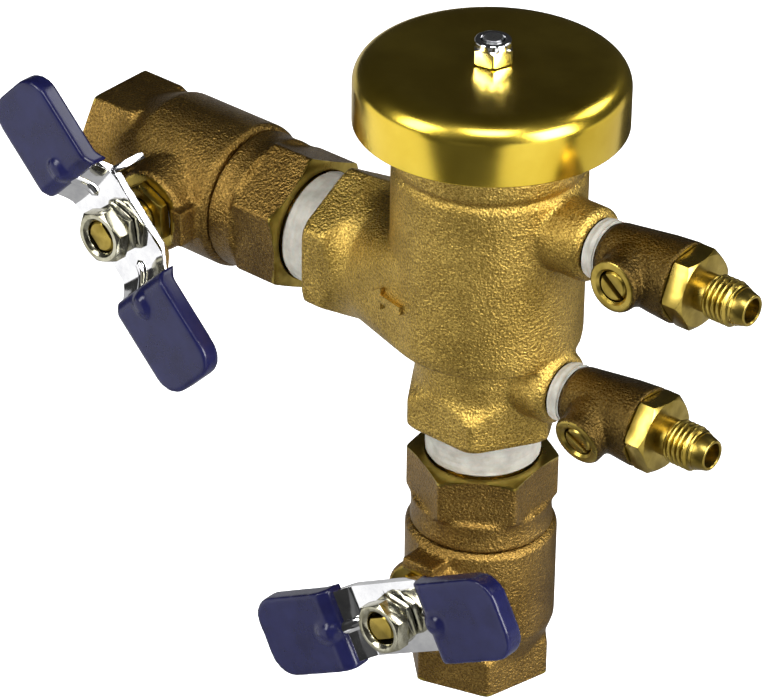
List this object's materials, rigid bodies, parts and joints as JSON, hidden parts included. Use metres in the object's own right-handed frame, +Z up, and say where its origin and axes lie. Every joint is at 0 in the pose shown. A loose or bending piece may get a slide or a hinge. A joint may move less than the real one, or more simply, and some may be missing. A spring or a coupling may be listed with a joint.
{
  "type": "pressure vacuum breaker",
  "caption": "Backflow preventer with a domed canopy, quarter-turn shutoff valves on its inlet and side outlet, and slotted test cocks.",
  "frame": {"origin": "centre of the inlet port's end face, at the bottom of the inlet valve", "axes": "+Z up along the inlet and the body; the outlet points to -X; valve stems and handles point to -Y; test cocks point to +X"},
  "size_m": [0.2038, 0.0744, 0.1759],
  "materials": {
    "cast_bronze": "rough sand-cast bronze, brown-gold",
    "canopy_brass": "polished spun brass",
    "machined_brass": "machined bright brass",
    "chrome": "chromium-plated steel",
    "steel": "plain stainless steel",
    "blue_vinyl": "glossy dipped vinyl, navy blue",
    "ptfe_tape": "wound white thread tape",
    "rubber": "matt black rubber",
    "white_ptfe": "white seat plastic",
    "plastic": "moulded off-white plastic"
  },
  "bodies": {
    "assembly": {"body": "cast_bronze", "inlet_valve_body": "cast_bronze", "inlet_valve_end_cap": "cast_bronze", "outlet_valve_body": "cast_bronze", "outlet_valve_end_cap": "cast_bronze", "upper_test_cock": "cast_bronze", "lower_test_cock": "cast_bronze", "canopy": "canopy_brass", "bonnet": "machined_brass", "inlet_nipple": "machined_brass", "inlet_gland_nut": "machined_brass", "inlet_nipple_tape": "ptfe_tape", "inlet_ball_seat_a": "white_ptfe", "inlet_ball_seat_b": "white_ptfe", "inlet_stem_packing": "white_ptfe", "outlet_nipple": "machined_brass", "outlet_gland_nut": "machined_brass", "outlet_nipple_tape": "ptfe_tape", "outlet_ball_seat_a": "white_ptfe", "outlet_ball_seat_b": "white_ptfe", "outlet_stem_packing": "white_ptfe", "upper_test_cock_flare_adaptor": "machined_brass", "upper_test_cock_ball_seat": "white_ptfe", "upper_test_cock_tape": "ptfe_tape", "lower_test_cock_flare_adaptor": "machined_brass", "lower_test_cock_ball_seat": "white_ptfe", "lower_test_cock_tape": "ptfe_tape", "canopy_nut": "chrome", "canopy_screw": "steel", "bonnet_seal": "rubber", "check_guide": "plastic"},
    "inlet_handle": {"inlet_ball": "chrome", "inlet_stem": "machined_brass", "inlet_handle": "chrome", "inlet_grip_a": "blue_vinyl", "inlet_grip_b": "blue_vinyl", "inlet_handle_jam_nut": "chrome", "inlet_handle_lock_nut": "chrome"},
    "outlet_handle": {"outlet_ball": "chrome", "outlet_stem": "machined_brass", "outlet_handle": "chrome", "outlet_grip_a": "blue_vinyl", "outlet_grip_b": "blue_vinyl", "outlet_handle_jam_nut": "chrome", "outlet_handle_lock_nut": "chrome"},
    "upper_cock_stem": {"upper_test_cock_ball": "chrome", "upper_test_cock_stem": "machined_brass"},
    "lower_cock_stem": {"lower_test_cock_ball": "chrome", "lower_test_cock_stem": "machined_brass"},
    "check": {"check_poppet": "plastic", "check_disc": "rubber", "disc_retainer": "machined_brass", "check_spring": "steel"},
    "air_float": {"float": "plastic", "float_seal": "rubber"}
  },
  "joints": [
    {"name": "inlet_handle_turn", "type": "hinge", "parent": "assembly", "child": "inlet_handle", "pos_m": [0, 0, 0.02785], "axis": [0, -1, 0], "range_deg": [-28.4, 61.6]},
    {"name": "outlet_handle_turn", "type": "hinge", "parent": "assembly", "child": "outlet_handle", "pos_m": [-0.0904, 0, 0.105], "axis": [0, -1, 0], "range_deg": [-44.8, 45.2]},
    {"name": "upper_cock_turn", "type": "hinge", "parent": "assembly", "child": "upper_cock_stem", "pos_m": [0.0472, 0, 0.1322], "axis": [0, -1, 0], "range_deg": [-51.5, 38.5]},
    {"name": "lower_cock_turn", "type": "hinge", "parent": "assembly", "child": "lower_cock_stem", "pos_m": [0.0384, 0, 0.0892], "axis": [0, -0.9659, -0.2588], "range_deg": [-54, 36]},
    {"name": "check_lift", "type": "slide", "parent": "assembly", "child": "check", "axis": [0, 0, 1], "range_m": [0, 0.0055], "stiffness_N_per_m": 150, "springref_m": -0.004, "deforming": ["check_spring"]},
    {"name": "float_lift", "type": "slide", "parent": "assembly", "child": "air_float", "axis": [0, 0, 1], "range_m": [0, 0.005]}
  ]
}
